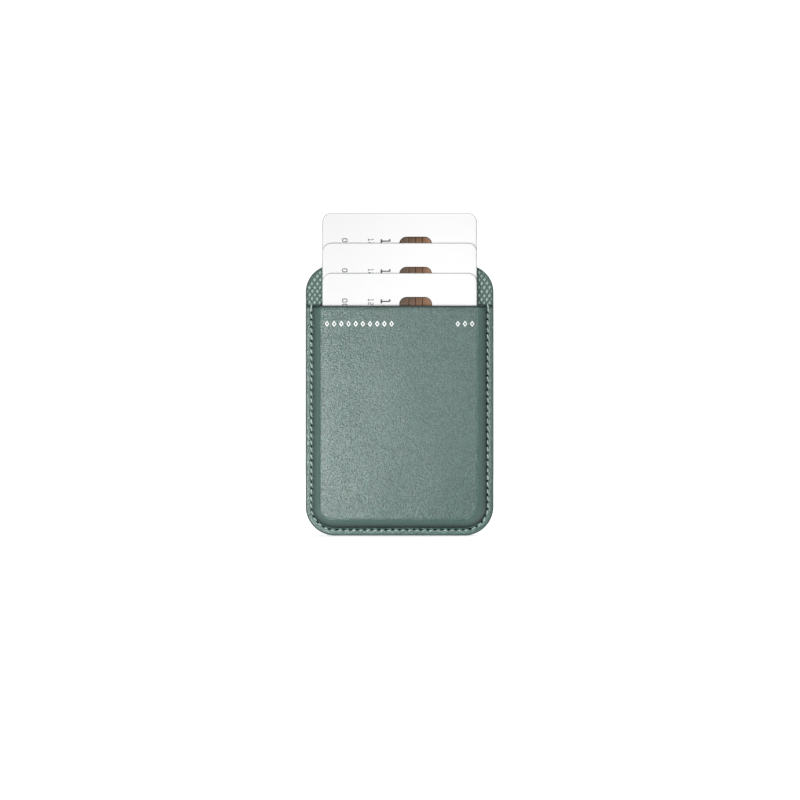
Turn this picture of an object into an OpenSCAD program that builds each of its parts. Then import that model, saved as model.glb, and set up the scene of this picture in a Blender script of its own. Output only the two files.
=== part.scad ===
// Slim upright leather card wallet with a moulded front pocket, a ring of magnets in its back panel
// and three cards standing in steps out of the mouth.
//
// Frame: millimetres. +Z is up, towards the mouth, +X is right as seen from the front, and the front
// faces -Y. The back face lies in the plane Y = 0, and the origin is the centre of the magnet ring on it.
// A depth is a distance in front of the back face, so a point at depth d has Y = -d.

/* [Outline] */
// Width of the holder across its painted edges
holder_w = 65.6; // [65:0.2:70]
// Height of the holder from its bottom edge to the top of the back panel
holder_h = 94.5; // [92:0.5:100]
// Corner radius at the bottom
bottom_corner_r = 10.2; // [9.4:0.2:11]
// Corner radius at the top of the back panel
top_corner_r = 9.5; // [6:0.5:12]
// Height of the pocket mouth above the bottom edge
mouth_h = 80.3; // [70:0.5:82]
// Thickness of the edge paint
paint_t = 0.2; // [0.1:0.05:0.3]

/* [Back panel] */
// Thickness of the back leather
back_leather_t = 0.9; // [0.8:0.1:1.4]
// Thickness of the board that carries the magnets
carrier_t = 1.5; // [1.5:0.1:2]
// Thickness of the back lining
back_lining_t = 0.7; // [0.5:0.1:1]

/* [Magnets] */
// Distance from the top edge down to the centre of the magnet ring
ring_drop = 32; // [30:0.5:34]
// Inner radius of the magnet ring
ring_inner_r = 23; // [22:0.1:24]
// Outer radius of the magnet ring
ring_outer_r = 27.7; // [26.5:0.1:28]
// Number of arc magnets in the ring
magnet_count = 18; // [12:1:24]
// Thickness of the magnets
magnet_t = 0.8; // [0.6:0.1:0.9]
// Thickness of the steel yoke in front of the ring
yoke_t = 0.3; // [0.2:0.05:0.35]
// Width of the alignment magnet
bar_w = 6; // [4:0.5:8]
// Height of the alignment magnet
bar_h = 18; // [14:1:20]
// Distance from the ring centre down to the centre of the alignment magnet
bar_drop = 41; // [40:0.5:43]
// Thickness of the shield
shield_t = 0.2; // [0.1:0.05:0.2]
// Distance from the holder's edge in to the shield
shield_inset = 4; // [3:0.5:6]

/* [Front panel] */
// Thickness of the leather at the sewn flange
flange_t = 1; // [0.8:0.1:1.3]
// Thickness of the leather over the flat of the front
front_leather_t = 1.1; // [0.9:0.1:1.4]
// Thickness of the stiffener behind the flat
stiffener_t = 0.3; // [0.2:0.1:0.5]
// Thickness of the front lining
front_lining_t = 0.4; // [0.3:0.1:0.5]
// Thickness of the tape under the flange
tape_t = 0.1; // [0.05:0.05:0.2]
// Distance from the holder's edge in to the flat of the raised front
panel_inset = 6; // [5.8:0.1:6.2]
// Corner radius of the flat of the raised front
panel_corner_r = 4.6; // [4.2:0.2:5]

/* [Pocket and cards] */
// Clear depth of the pocket, from back lining to front lining
pocket_depth = 2.5; // [2.4:0.05:2.8]
// Height of the pocket floor above the bottom edge
pocket_floor_h = 4.9; // [4.8:0.1:5.2]
// Gap between a card and the side of the pocket
card_side_gap = 0.16; // [0.1:0.02:0.3]
// Width of a card, the standard size
card_w = 53.98; // [53.9:0.02:54.1]
// Length of a card, the standard size
card_l = 85.6; // [85.4:0.1:85.8]
// Thickness of a card, the standard size
card_t = 0.76; // [0.68:0.04:0.76]
// Corner radius of a card
card_corner_r = 3.18; // [2.9:0.02:3.4]
// Height of the front card's foot above the bottom edge, as it stands at rest
card_foot_h = 6; // [5.6:0.1:6.4]
// Height by which each card stands above the one in front of it
card_step = 10.53; // [4:0.5:14]

/* [Stitching] */
// Distance from the holder's edge in to the stitch line
seam_inset = 2.05; // [1.8:0.05:2.2]
// Distance from one stitch to the next, rounded to fit the seam
stitch_pitch = 2.45; // [2.3:0.05:4]
// Part of the pitch that a stitch covers on the surface
stitch_fill = 0.76; // [0.5:0.02:0.84]
// Thickness of the thread
thread_d = 0.45; // [0.3:0.05:0.5]

/* [Foil marks] */
// Height of the foil marks' centre line below the mouth
foil_drop = 6.4; // [5:0.2:10]
// Width of one foil diamond
diamond_w = 1.6; // [1.2:0.1:1.8]
// Height of one foil diamond
diamond_h = 2.1; // [1.5:0.1:3]
// Width of a foil diamond's stroke, measured across the diamond
diamond_stroke = 0.4; // [0.2:0.05:0.5]
// Distance from one foil diamond to the next
diamond_pitch = 2.5; // [2.2:0.1:2.5]

/* [Hidden] */
$fn = 96;
CARDS = ["rear", "middle", "front"];

// Overlap of a cutting shape past the face that it cuts
past = 1;
// Gap left between pieces that are set into each other
fit_gap = 0.01;

// Depths of the layers, counted forwards from the back face
carrier_back = back_leather_t;
magnet_front = carrier_back + magnet_t;
yoke_front = magnet_front + yoke_t;
carrier_front = carrier_back + carrier_t;
shield_back = carrier_front - shield_t;
pocket_back = carrier_front + back_lining_t;
flange_back = pocket_back + tape_t;
flange_front = flange_back + flange_t;
pocket_front = pocket_back + pocket_depth;
lining_front = pocket_front + front_lining_t;
stiffener_front = lining_front + stiffener_t;
panel_front = stiffener_front + front_leather_t;
panel_rise = panel_front - flange_front;

// Heights, counted from the ring centre
bottom_z = ring_drop - holder_h;
mouth_z = bottom_z + mouth_h;
leather_mouth_z = mouth_z - paint_t;
panel_half_w = holder_w / 2 - panel_inset;
panel_bottom_z = bottom_z + panel_inset;
floor_z = bottom_z + pocket_floor_h;
pocket_half_w = card_w / 2 + card_side_gap;
pocket_corner_r = card_corner_r + card_side_gap;
card_gap = (pocket_depth - len(CARDS) * card_t) / (len(CARDS) + 1);

// Size and place of the chip on a card
chip_w = 11.5;
chip_l = 12.6;
chip_t = 0.2;
chip_corner_r = 2.6;
chip_drop = 8.3;
chip_offset = 5.6;
// The sealed block behind the chip
chip_block_w = 7;
chip_block_t = 0.36;
chip_block_r = 1.5;
// The magnetic stripe, and its distance from the card's edge
stripe_w = 12.7;
stripe_inset = 3.8;
inlay_t = 0.05;
// The signature panel, and its distance from the card's long edge and from its top
signature_w = 9.6;
signature_l = 56;
signature_inset = 20;
signature_drop = 8;

// The seam runs down the left side, round the bottom and up the right side
groove_w = 0.8;
front_groove_depth = 0.35;
back_groove_depth = thread_d + 0.05;
seam_half_w = holder_w / 2 - seam_inset;
seam_corner_r = bottom_corner_r - seam_inset;
seam_side = mouth_z - bottom_z - bottom_corner_r;
seam_arc = PI / 2 * seam_corner_r;
seam_base = holder_w - 2 * bottom_corner_r;
seam_length = 2 * seam_side + 2 * seam_arc + seam_base;
stitch_count = round(seam_length / stitch_pitch);
stitch_step = seam_length / stitch_count;

foil_t = 0.05;
foil_edge_gap = 0.7;
foil_left_count = 10;
foil_right_count = 3;

// ---- Shapes shared by several pieces ----

// An upright plate between two depths, from a flat shape drawn in X and Z
module plate(from, to) {
    translate([0, -from, 0])
        rotate([90, 0, 0])
            linear_extrude(height = to - from)
                children();
}

// A rectangle with one radius at its lower corners and another at its upper corners
module rounded_rectangle(half_w, low, high, low_r, high_r) {
    translate([-half_w, low + low_r])
        square([2 * half_w, high - low - low_r - high_r]);
    translate([-half_w + low_r, low])
        square([2 * (half_w - low_r), low_r]);
    translate([-half_w + high_r, high - high_r])
        square([2 * (half_w - high_r), high_r]);
    for (side = [-1, 1]) {
        translate([side * (half_w - low_r), low + low_r])
            circle(r = low_r);
        translate([side * (half_w - high_r), high - high_r])
            circle(r = high_r);
    }
}

// A rectangle with rounded lower corners and a straight top
module pocket_shape(half_w, low, high, low_r) {
    translate([-half_w, low + low_r])
        square([2 * half_w, high - low - low_r]);
    translate([-half_w + low_r, low])
        square([2 * (half_w - low_r), low_r]);
    for (side = [-1, 1])
        translate([side * (half_w - low_r), low + low_r])
            circle(r = low_r);
}

// The holder's whole outline, drawn in from its edge
module holder_outline(inset) {
    rounded_rectangle(
        holder_w / 2 - inset, bottom_z + inset, ring_drop - inset,
        bottom_corner_r - inset, top_corner_r - inset
    );
}

// The part of the outline that the front panel covers, drawn in from its edge
module flange_outline(inset, top) {
    pocket_shape(holder_w / 2 - inset, bottom_z + inset, top, bottom_corner_r - inset);
}

// The clear space of the pocket, drawn out by a lining's thickness
module pocket_outline(outset, top) {
    pocket_shape(pocket_half_w + outset, floor_z - outset, top, pocket_corner_r + outset);
}

// A quarter of a disc in the corner of the positive axes
module quarter_disc(r) {
    intersection() {
        circle(r = r);
        square(r);
    }
}

// The rounded side of the raised front: a quarter round that follows the flat down, across and up
module rounded_side(top) {
    corner_x = panel_half_w - panel_corner_r;
    corner_z = panel_bottom_z + panel_corner_r;
    for (side = [0, 1])
        mirror([side, 0, 0]) {
            translate([panel_half_w, -flange_front, corner_z])
                mirror([0, 1, 0])
                    linear_extrude(height = top - corner_z)
                        quarter_disc(panel_rise);
            translate([corner_x, -flange_front, corner_z])
                rotate([90, 0, 0])
                    rotate([0, 0, -90])
                        rotate_extrude(angle = 90)
                            translate([panel_corner_r, 0])
                                quarter_disc(panel_rise);
        }
    translate([-corner_x, -flange_front, panel_bottom_z])
        rotate([0, 90, 0])
            mirror([0, 1, 0])
                linear_extrude(height = 2 * corner_x)
                    quarter_disc(panel_rise);
}

// The groove that sinks the stitches, between two depths
module seam_groove(from, to) {
    plate(from, to)
        difference() {
            flange_outline(seam_inset - groove_w / 2, mouth_z + past);
            flange_outline(seam_inset + groove_w / 2, mouth_z + 2 * past);
        }
}

// Place and heading of a point on the seam: [x, z, angle from the +X axis]
function seam_point(s) =
    s < seam_side ? [-seam_half_w, mouth_z - s, -90] :
    s < seam_side + seam_arc ? corner_point(-1, -180 + 90 * (s - seam_side) / seam_arc) :
    s < seam_side + seam_arc + seam_base ?
        [-holder_w / 2 + bottom_corner_r + s - seam_side - seam_arc, bottom_z + seam_inset, 0] :
    s < seam_length - seam_side ?
        corner_point(1, -90 + 90 * (s - seam_side - seam_arc - seam_base) / seam_arc) :
    [seam_half_w, mouth_z - seam_length + s, 90];

function corner_point(side, angle) = [
    side * (holder_w / 2 - bottom_corner_r) + seam_corner_r * cos(angle),
    bottom_z + bottom_corner_r + seam_corner_r * sin(angle),
    angle + 90
];

// The row of surface stitches, with their centres at one depth
module stitches(depth) {
    length = stitch_step * stitch_fill;
    for (i = [0:stitch_count - 1]) {
        p = seam_point((i + 0.5) * stitch_step);
        translate([p[0], -depth, p[1]])
            rotate([0, 90 - p[2], 0])
                cylinder(d = thread_d, h = length, center = true, $fn = 24);
    }
}

// A row of open foil diamonds that starts at one X and runs to the right
module diamonds(start, count) {
    plate(panel_front, panel_front + foil_t)
        for (i = [0:count - 1])
            translate([start + diamond_w / 2 + i * diamond_pitch, mouth_z - foil_drop])
                difference() {
                    diamond(1);
                    diamond(1 - 2 * diamond_stroke / diamond_w);
                }
}

module diamond(share) {
    w = diamond_w / 2 * share;
    h = diamond_h / 2 * share;
    polygon([[-w, 0], [0, -h], [w, 0], [0, h]]);
}

// ---- Back panel ----

module back_leather() {
    color([0.40, 0.47, 0.45])
        difference() {
            plate(0, back_leather_t) holder_outline(paint_t);
            seam_groove(-past, back_groove_depth);
        }
}

module magnet_carrier() {
    color([0.30, 0.31, 0.30])
        difference() {
            plate(carrier_back, carrier_front) holder_outline(paint_t);
            plate(carrier_back - past, yoke_front)
                difference() {
                    circle(r = ring_outer_r + fit_gap);
                    circle(r = ring_inner_r - fit_gap);
                }
            plate(carrier_back - past, magnet_front)
                translate([-bar_w / 2 - fit_gap, -bar_drop - bar_h / 2 - fit_gap])
                    square([bar_w + 2 * fit_gap, bar_h + 2 * fit_gap]);
            plate(shield_back, carrier_front + past) holder_outline(shield_inset - fit_gap);
        }
}

module ring_magnets() {
    // Gap between one arc magnet and the next, at the middle of the ring
    gap_angle = 0.3 / ((ring_inner_r + ring_outer_r) / 2) * 180 / PI;
    step = 360 / magnet_count;
    color([0.72, 0.73, 0.75])
        for (i = [0:magnet_count - 1])
            translate([0, -carrier_back, 0])
                rotate([90, 0, 0])
                    rotate([0, 0, i * step + gap_angle / 2])
                        rotate_extrude(angle = step - gap_angle)
                            translate([ring_inner_r, 0])
                                square([ring_outer_r - ring_inner_r, magnet_t]);
}

module magnet_yoke() {
    color([0.55, 0.56, 0.58])
        plate(magnet_front, yoke_front)
            difference() {
                circle(r = ring_outer_r);
                circle(r = ring_inner_r);
            }
}

module alignment_magnet() {
    color([0.72, 0.73, 0.75])
        plate(carrier_back, magnet_front)
            translate([-bar_w / 2, -bar_drop - bar_h / 2])
                square([bar_w, bar_h]);
}

module shield_sheet() {
    color([0.62, 0.63, 0.62])
        plate(shield_back, carrier_front) holder_outline(shield_inset);
}

module back_lining() {
    color([0.48, 0.55, 0.53])
        plate(carrier_front, pocket_back) holder_outline(paint_t);
}

// ---- Front panel ----

module front_leather() {
    color([0.46, 0.54, 0.51])
        difference() {
            union() {
                plate(flange_back, flange_front) flange_outline(paint_t, leather_mouth_z);
                plate(flange_back, panel_front)
                    pocket_shape(panel_half_w, panel_bottom_z, leather_mouth_z, panel_corner_r);
                rounded_side(leather_mouth_z);
            }
            plate(flange_back - past, lining_front) pocket_outline(front_lining_t, mouth_z + past);
            plate(pocket_front, stiffener_front) stiffener_outline(0);
            seam_groove(flange_front - front_groove_depth, flange_front + past);
        }
}

// The stiffener stops short of the mouth and of the pocket's sides
module stiffener_outline(inset) {
    rounded_rectangle(
        panel_half_w - 1 - inset, panel_bottom_z + 1 + inset, leather_mouth_z - 1.5 - inset, 3.5, 1
    );
}

module front_stiffener() {
    color([0.85, 0.84, 0.80])
        plate(lining_front, stiffener_front) stiffener_outline(fit_gap);
}

module front_lining() {
    color([0.36, 0.42, 0.40])
        difference() {
            plate(pocket_back, lining_front) pocket_outline(front_lining_t, leather_mouth_z);
            plate(pocket_back - past, pocket_front) pocket_outline(0, mouth_z + past);
        }
}

module seam_tape() {
    color([0.92, 0.90, 0.84])
        plate(pocket_back, flange_back)
            difference() {
                flange_outline(2 * paint_t, leather_mouth_z);
                pocket_outline(front_lining_t + 0.1, mouth_z + past);
            }
}

// ---- Edges, seams and marks ----

module mouth_edge_paint() {
    color([0.17, 0.21, 0.20])
        difference() {
            union() {
                translate([-holder_w / 2, -flange_front, leather_mouth_z])
                    cube([holder_w, flange_t + tape_t, paint_t]);
                translate([-panel_half_w, -panel_front, leather_mouth_z])
                    cube([2 * panel_half_w, panel_front - pocket_back, paint_t]);
                for (side = [0, 1])
                    mirror([side, 0, 0])
                        translate([panel_half_w, -flange_front, leather_mouth_z])
                            mirror([0, 1, 0])
                                linear_extrude(height = paint_t)
                                    quarter_disc(panel_rise);
            }
            translate([-pocket_half_w, -pocket_front, leather_mouth_z - past])
                cube([2 * pocket_half_w, pocket_depth + past, paint_t + 2 * past]);
        }
}

module rim_edge_paint() {
    color([0.20, 0.25, 0.24]) {
        plate(0, pocket_back)
            difference() {
                holder_outline(0);
                holder_outline(paint_t);
            }
        plate(pocket_back, flange_front)
            difference() {
                flange_outline(0, leather_mouth_z);
                flange_outline(paint_t, leather_mouth_z + past);
            }
    }
}

module needle_thread() {
    color([0.52, 0.60, 0.57])
        stitches(flange_front - front_groove_depth + thread_d / 2 + fit_gap);
}

module bobbin_thread() {
    color([0.52, 0.60, 0.57])
        stitches(back_groove_depth - thread_d / 2 - fit_gap);
}

module foil_mark_left() {
    color([0.93, 0.94, 0.93])
        diamonds(-panel_half_w + foil_edge_gap, foil_left_count);
}

module foil_mark_right() {
    length = (foil_right_count - 1) * diamond_pitch + diamond_w;
    color([0.93, 0.94, 0.93])
        diamonds(panel_half_w - foil_edge_gap - length, foil_right_count);
}

// ---- Cards, counted from the rear: 0, 1, 2 ----

// Depth of a card's back face, and height of its foot
function card_back(level) = pocket_back + card_gap + level * (card_t + card_gap);
function card_foot(level) = bottom_z + card_foot_h + (len(CARDS) - 1 - level) * card_step;

// Puts a card's own flat shape, drawn from its centre line and its foot, at its level
module on_card(level, from, to) {
    translate([0, 0, card_foot(level)])
        plate(card_back(level) + from, card_back(level) + to)
            children();
}

module chip_shape(grow) {
    translate([chip_offset, 0])
        rounded_rectangle(
            chip_w / 2 + grow, card_l - chip_drop - chip_l - grow, card_l - chip_drop + grow,
            chip_corner_r, chip_corner_r
        );
}

module chip_block_shape(grow) {
    half = chip_block_w / 2 + grow;
    middle = card_l - chip_drop - chip_l / 2;
    translate([chip_offset, 0])
        rounded_rectangle(half, middle - half, middle + half, chip_block_r, chip_block_r);
}

// The stripe runs from the card's foot to its top, and its recess runs out past both
module stripe_shape(grow, overrun) {
    translate([card_w / 2 - stripe_inset - stripe_w - grow, -overrun])
        square([stripe_w + 2 * grow, card_l + 2 * overrun]);
}

module signature_shape(grow) {
    low_x = card_w / 2 - signature_inset - signature_w;
    low_z = card_l - signature_drop - signature_l;
    translate([low_x - grow, low_z - grow])
        square([signature_w + 2 * grow, signature_l + 2 * grow]);
}

module card_body(level) {
    color([0.95, 0.95, 0.96])
        difference() {
            on_card(level, 0, card_t)
                rounded_rectangle(card_w / 2, 0, card_l, card_corner_r, card_corner_r);
            on_card(level, card_t - chip_t, card_t + past) chip_shape(fit_gap);
            on_card(level, card_t - chip_t - chip_block_t, card_t) chip_block_shape(fit_gap);
            on_card(level, -past, inlay_t) stripe_shape(fit_gap, past);
            on_card(level, -past, inlay_t) signature_shape(fit_gap);
        }
}

module card_chip(level) {
    color([0.48, 0.38, 0.30]) {
        on_card(level, card_t - chip_t, card_t) chip_shape(0);
        on_card(level, card_t - chip_t - chip_block_t + fit_gap, card_t - chip_t) chip_block_shape(0);
    }
}

module card_stripe(level) {
    color([0.12, 0.11, 0.11])
        on_card(level, 0, inlay_t) stripe_shape(0, 0);
}

module card_signature(level) {
    color([0.88, 0.88, 0.84])
        on_card(level, 0, inlay_t) signature_shape(0);
}

back_leather();
magnet_carrier();
ring_magnets();
magnet_yoke();
alignment_magnet();
shield_sheet();
back_lining();
front_leather();
front_stiffener();
front_lining();
seam_tape();
mouth_edge_paint();
rim_edge_paint();
needle_thread();
bobbin_thread();
foil_mark_left();
foil_mark_right();
for (level = [0:len(CARDS) - 1]) {
    name = str(CARDS[level], "_card");
    card_body(level);
    card_chip(level);
    card_stripe(level);
    card_signature(level);
}
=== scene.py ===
import functools
import math

import bmesh
import bpy
import numpy as np
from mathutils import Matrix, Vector


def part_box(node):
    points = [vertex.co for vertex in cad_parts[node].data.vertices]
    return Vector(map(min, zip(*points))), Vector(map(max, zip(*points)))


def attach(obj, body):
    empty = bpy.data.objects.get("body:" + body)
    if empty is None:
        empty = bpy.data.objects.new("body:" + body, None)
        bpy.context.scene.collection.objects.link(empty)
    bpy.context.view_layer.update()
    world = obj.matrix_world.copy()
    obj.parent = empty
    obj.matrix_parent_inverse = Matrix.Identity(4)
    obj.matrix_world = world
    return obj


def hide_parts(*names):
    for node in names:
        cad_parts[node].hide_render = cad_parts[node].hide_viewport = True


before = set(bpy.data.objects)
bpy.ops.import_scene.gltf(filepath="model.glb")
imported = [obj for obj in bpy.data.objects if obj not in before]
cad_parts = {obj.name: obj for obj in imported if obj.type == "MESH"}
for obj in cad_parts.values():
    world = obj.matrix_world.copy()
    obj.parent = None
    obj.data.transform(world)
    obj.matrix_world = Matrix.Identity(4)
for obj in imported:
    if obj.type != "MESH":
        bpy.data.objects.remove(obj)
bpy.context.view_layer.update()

scene = bpy.context.scene

# Lengths are in millimetres up to new_piece(), which makes metres of them. A depth is a distance in
# front of the back face, so a point at depth d has y = -d. An inset is a distance in from the outline.
MM = 0.001


def cad_box(node):
    """Lowest and highest corner of a CAD node, in millimetres."""
    low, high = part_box(node)
    return np.array(low) / MM, np.array(high) / MM


# ---- Driving sizes ----

rim_low, rim_high = cad_box("rim_edge_paint")
leather_low, leather_high = cad_box("front_leather")
lining_low, lining_high = cad_box("back_lining")
tray_low = cad_box("front_lining")[0]
back_low, back_high = cad_box("back_leather")

HALF_W = rim_high[0]
BOTTOM, TOP = rim_low[2], rim_high[2]
MOUTH = cad_box("mouth_edge_paint")[1][2]
FLANGE_DEPTH = -rim_low[1]
FLANGE_BACK = -leather_high[1]
PANEL_DEPTH = -leather_low[1]
INNER_FACE = PANEL_DEPTH - 1.08     # depth of the face of the front leather that the tray lies against
LINING_BACK, LINING_DEPTH = -lining_high[1], -lining_low[1]
TRAY_DEPTH = -tray_low[1]
BACK_LEATHER_T = back_high[1] - back_low[1]

BOTTOM_R, TOP_R = 10.2, 9.5
PAINT_W = 0.42          # width of edge paint that shows from the front
SKIN_INSET = 0.3        # inset at which a leather face starts, under the edge paint
SEAM_INSET = 2.05       # inset of the line of stitches
POCKET_HALF_W = 27.15
POCKET_FLOOR = BOTTOM + 4.9
POCKET_R = 3.34
TRAY_T = 0.4
POCKET_DEPTH = TRAY_DEPTH - TRAY_T
CARDS = ("rear", "middle", "front")

# The seam runs down the left side from the mouth, along the bottom and up the right side.
SEAM_SIDE = MOUTH - BOTTOM - BOTTOM_R
SEAM_ARC = math.pi / 2 * (BOTTOM_R - SEAM_INSET)
SEAM_BASE = 2 * (HALF_W - BOTTOM_R)
SEAM_LENGTH = 2 * (SEAM_SIDE + SEAM_ARC) + SEAM_BASE
STITCHES = round(SEAM_LENGTH / 2.45)
STITCH = SEAM_LENGTH / STITCHES
OFF_SEAM = -9           # distance along the seam of a station that isn't on it


# ---- Small helpers ----

def smooth(low, high, value):
    t = np.clip((value - low) / (high - low), 0, 1)
    return t * t * (3 - 2 * t)


def hump(value, centre, width, power=2):
    return np.exp(-np.abs((value - centre) / width) ** power)


def unit(vectors):
    return vectors / np.linalg.norm(vectors, axis=1)[:, None]


def ripple(x, z, wavelength, seed, waves=14):
    """A smooth random field of about unit size, made of plane waves."""
    rng = np.random.default_rng(seed)
    total = np.zeros(np.broadcast(x, z).shape)
    for angle, phase, stretch in rng.uniform((0, 0, 0.7), (np.pi, 2 * np.pi, 1.4), (waves, 3)):
        k = 2 * np.pi / (wavelength * stretch)
        total = total + np.sin(k * (x * np.cos(angle) + z * np.sin(angle)) + phase)
    return total / math.sqrt(waves / 2)


class Shape:
    """Points (x, depth, z) and faces, gathered until they become a piece."""

    def __init__(self):
        self.points = np.zeros((0, 3))
        self.faces = []
        self.kinds = []
        self.marks = {}

    def add(self, x, depth, z, **marks):
        """Adds a block of points and returns their numbers in the same layout."""
        x, depth, z = np.broadcast_arrays(np.asarray(x, float), depth, z)
        start = len(self.points)
        self.points = np.vstack([self.points, np.stack([x.ravel(), depth.ravel(), z.ravel()], 1)])
        for name, value in marks.items():
            self.marks.setdefault(name, []).append((start, np.broadcast_to(value, x.shape).ravel()))
        return np.arange(start, start + x.size).reshape(x.shape)

    def face(self, numbers, kind=0):
        ring = [int(n) for i, n in enumerate(numbers) if n != numbers[i - 1]]
        if len(ring) > 2:
            self.faces.append(ring)
            self.kinds.append(kind)

    def grid(self, numbers, wrap=False, kind=0):
        """Quads between neighbouring rows and columns. wrap closes each row on itself."""
        rows, columns = numbers.shape
        for i in range(rows - 1):
            for j in range(columns if wrap else columns - 1):
                k = (j + 1) % columns
                self.face([numbers[i, j], numbers[i, k], numbers[i + 1, k], numbers[i + 1, j]], kind)

    def tube(self, loops, kind=0, cap_kind=None, **marks):
        """Closed loops joined one after the other, with the first and the last filled."""
        numbers = np.array([self.add(*loop, **marks) for loop in loops])
        self.grid(numbers, wrap=True, kind=kind)
        for end in (numbers[0], numbers[-1]):
            self.face(list(end), kind if cap_kind is None else cap_kind)
        return numbers


def new_piece(name, shape, materials, body, replaces=None, sharp_deg=40):
    """Makes a closed object of the shape, which rides on a body and may replace a CAD node."""
    mesh = bpy.data.meshes.new(name)
    mesh.from_pydata((shape.points * MM * (1, -1, 1)).tolist(), [], shape.faces)
    for material in materials:
        mesh.materials.append(material)
    mesh.polygons.foreach_set("material_index", shape.kinds)
    for mark, blocks in shape.marks.items():
        values = np.ones(len(mesh.vertices), np.float32)
        for start, block in blocks:
            values[start:start + len(block)] = block
        mesh.attributes.new(mark, "FLOAT", "POINT").data.foreach_set("value", values)
    bm = bmesh.new()
    bm.from_mesh(mesh)
    bmesh.ops.recalc_face_normals(bm, faces=bm.faces)
    bm.to_mesh(mesh)
    bm.free()
    mesh.polygons.foreach_set("use_smooth", [True] * len(mesh.polygons))
    mesh.set_sharp_from_angle(angle=math.radians(sharp_deg))
    piece = bpy.data.objects.new(name, mesh)
    scene.collection.objects.link(piece)
    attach(piece, body)
    if replaces:
        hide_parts(replaces)


# ---- Materials ----

def add_node(tree, kind, inputs=None, **settings):
    node = tree.nodes.new(kind)
    for key, value in settings.items():
        setattr(node, key, value)
    for key, value in (inputs or {}).items():
        if isinstance(value, bpy.types.NodeSocket):
            tree.links.new(value, node.inputs[key])
        else:
            node.inputs[key].default_value = value
    return node


class Material:
    """A Principled material whose patterns run in millimetres of the row frame."""

    def __init__(self, name, **constants):
        self.material = bpy.data.materials.new(name)
        self.material.use_nodes = True
        self.tree = self.material.node_tree
        self.shader = self.tree.nodes["Principled BSDF"]
        for key, value in constants.items():
            self.shader.inputs[key.replace("_", " ")].default_value = value
        place = add_node(self.tree, "ShaderNodeTexCoord").outputs["Object"]
        self.place = self.vector("SCALE", place, Scale=1 / MM)

    def node(self, kind, inputs=None, **settings):
        return add_node(self.tree, kind, inputs, **settings)

    def vector(self, operation, first, second=None, **inputs):
        values = {0: first, **inputs}
        if second is not None:
            values[1] = second
        return self.node("ShaderNodeVectorMath", values, operation=operation).outputs[0]

    def math(self, operation, first, second):
        return self.node("ShaderNodeMath", {0: first, 1: second}, operation=operation).outputs[0]

    def sum(self, *values):
        return functools.reduce(lambda a, b: self.math("ADD", a, b), values)

    def product(self, *values):
        return functools.reduce(lambda a, b: self.math("MULTIPLY", a, b), values)

    def noise(self, size, detail=2.0, rough=0.5, place=None, colour=False, stretch=None):
        """Noise of about a size. stretch multiplies the place along each axis first."""
        place = place or self.place
        if stretch:
            place = self.vector("MULTIPLY", place, stretch)
        inputs = {"Vector": place, "Scale": 1 / size, "Detail": detail, "Roughness": rough}
        node = self.node("ShaderNodeTexNoise", inputs)
        return node.outputs["Color" if colour else "Fac"]

    def cells(self, size, place=None, output="Distance"):
        """Cells of about a size: the distance from each cell's middle, or its own colour."""
        inputs = {"Vector": place or self.place, "Scale": 1 / size}
        return self.node("ShaderNodeTexVoronoi", inputs, feature="F1").outputs[output]

    def warped(self, size, amount):
        """The place, pushed about by noise."""
        push = self.vector("SUBTRACT", self.noise(size, 2, colour=True), (0.5, 0.5, 0.5))
        return self.vector("ADD", self.vector("SCALE", push, Scale=amount), self.place)

    def range(self, value, low, high, to_low=0.0, to_high=1.0):
        """A smooth step of a value between low and high, from to_low to to_high."""
        inputs = {"Value": value, "From Min": low, "From Max": high, "To Min": to_low, "To Max": to_high}
        return self.node("ShaderNodeMapRange", inputs, interpolation_type="SMOOTHSTEP").outputs["Result"]

    def vary(self, noise, low, high):
        """Noise turned into a number between low and high."""
        return self.range(noise, 0.3, 0.7, low, high)

    def mark(self, name):
        """A number that the mesh carries at each point."""
        return self.node("ShaderNodeAttribute", attribute_name=name).outputs["Fac"]

    def blend(self, factor, first, second, mode="MIX"):
        node = self.node("ShaderNodeMix", data_type="RGBA", blend_type=mode)
        for index, value in ((0, factor), (6, first), (7, second)):
            if isinstance(value, bpy.types.NodeSocket):
                self.tree.links.new(value, node.inputs[index])
            else:
                node.inputs[index].default_value = (*value, 1) if hasattr(value, "__len__") else value
        return node.outputs[2]

    def times(self, colour, red, green, blue):
        tint = self.node("ShaderNodeCombineColor", {"Red": red, "Green": green, "Blue": blue}).outputs[0]
        return self.blend(1.0, colour, tint, "MULTIPLY")

    def shade(self, colour, *factors):
        """A colour multiplied by numbers."""
        factor = self.product(*factors)
        return self.times(colour, factor, factor, factor)

    def tinted(self, colour, factor, red_power, blue_power):
        """A colour darkened as a green dye darkens: its red goes first, then its blue."""
        red = self.math("POWER", factor, red_power)
        return self.times(colour, red, factor, self.math("POWER", factor, blue_power))

    def set(self, socket, value):
        self.tree.links.new(value, self.shader.inputs[socket])

    def bump(self, height, depth_mm):
        inputs = {"Height": height, "Distance": depth_mm * MM}
        self.set("Normal", self.node("ShaderNodeBump", inputs).outputs["Normal"])


def srgb(*levels):
    """A linear colour from levels of 0 to 255 as a screen shows them."""
    shares = [level / 255 for level in levels]
    return tuple(c / 12.92 if c <= 0.04045 else ((c + 0.055) / 1.055) ** 2.4 for c in shares)


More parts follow.
